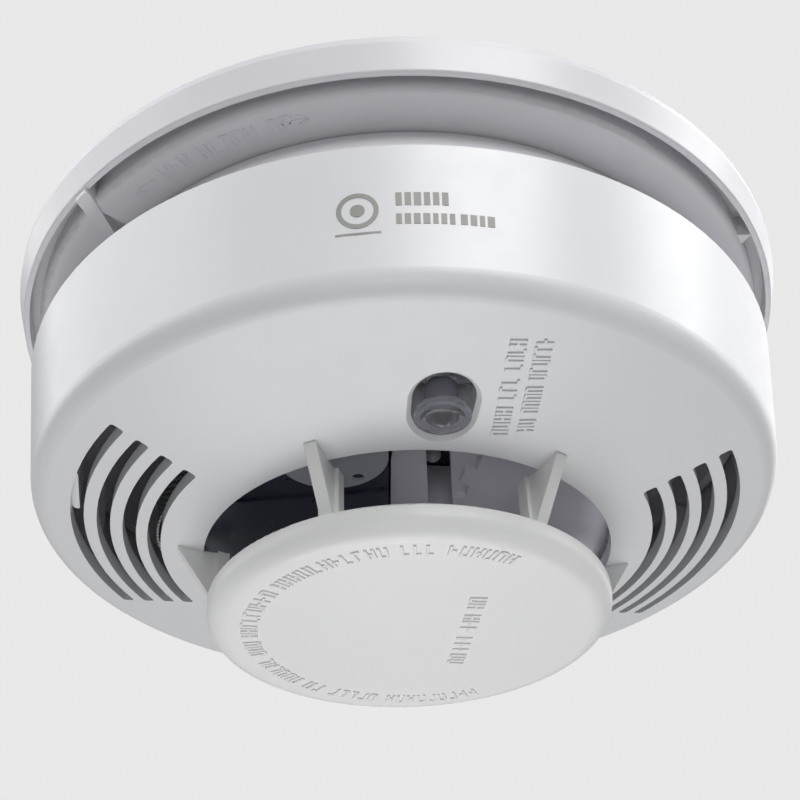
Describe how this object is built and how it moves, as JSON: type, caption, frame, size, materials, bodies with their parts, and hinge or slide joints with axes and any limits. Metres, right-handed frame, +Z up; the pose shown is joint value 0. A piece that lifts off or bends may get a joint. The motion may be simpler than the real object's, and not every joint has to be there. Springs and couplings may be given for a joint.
{
  "type": "smoke detector",
  "caption": "Round ceiling smoke detector with a twist-on base plate, sounder slots, a clear test button and a round smoke cap held on thin ribs.",
  "frame": {"origin": "centre of the base plate's ceiling face", "axes": "+Z is up, out of the ceiling face into the ceiling, and the detector hangs along -Z; -Y is the side with the test button"},
  "size_m": [0.11, 0.11, 0.0485],
  "materials": {
    "cover_white": "satin moulded white",
    "base_white": "satin moulded white",
    "rear_white": "satin moulded white",
    "cap_white": "satin moulded white",
    "clear": "clear moulded acrylic",
    "black_plastic": "glossy moulded black",
    "grey_plastic": "satin moulded grey",
    "shield_plastic": "satin moulded dark grey",
    "pcb": "dark solder mask",
    "brass": "bare",
    "steel": "plain",
    "battery_case": "printed sleeve",
    "chip_black": "matt",
    "label": "paper label",
    "led_red": "diffuse epoxy",
    "can_sleeve": "shrink sleeve",
    "resistor_body": "lacquer"
  },
  "bodies": {
    "base": {"mounting_base": "base_white"},
    "detector": {"rear_housing": "rear_white", "front_cover": "cover_white", "detector_cap": "cap_white", "test_switch": "chip_black", "circuit_board": "pcb", "chamber_base": "black_plastic", "chamber_lid": "black_plastic", "sensor_shield": "shield_plastic", "insect_screen": "steel", "ir_emitter": "led_red", "photodiode": "chip_black", "sounder_housing": "grey_plastic", "piezo_disc": "brass", "battery_9v": "battery_case", "battery_contacts": "steel", "status_led": "led_red", "capacitors": "can_sleeve", "control_chip": "chip_black", "resistors": "resistor_body", "housing_screws": "steel", "rating_label": "label"},
    "button": {"test_button": "clear", "switch_plunger": "grey_plastic"}
  },
  "joints": [
    {"name": "twist_lock", "type": "hinge", "parent": "base", "child": "detector", "pos_m": [0, 0, 0], "axis": [0, 0, 1], "range_deg": [-20, 0]},
    {"name": "button_press", "type": "slide", "parent": "detector", "child": "button", "axis": [0, 0, 1], "range_m": [0, 0.0007], "stiffness_N_per_m": 150, "springref_m": -0.001}
  ]
}
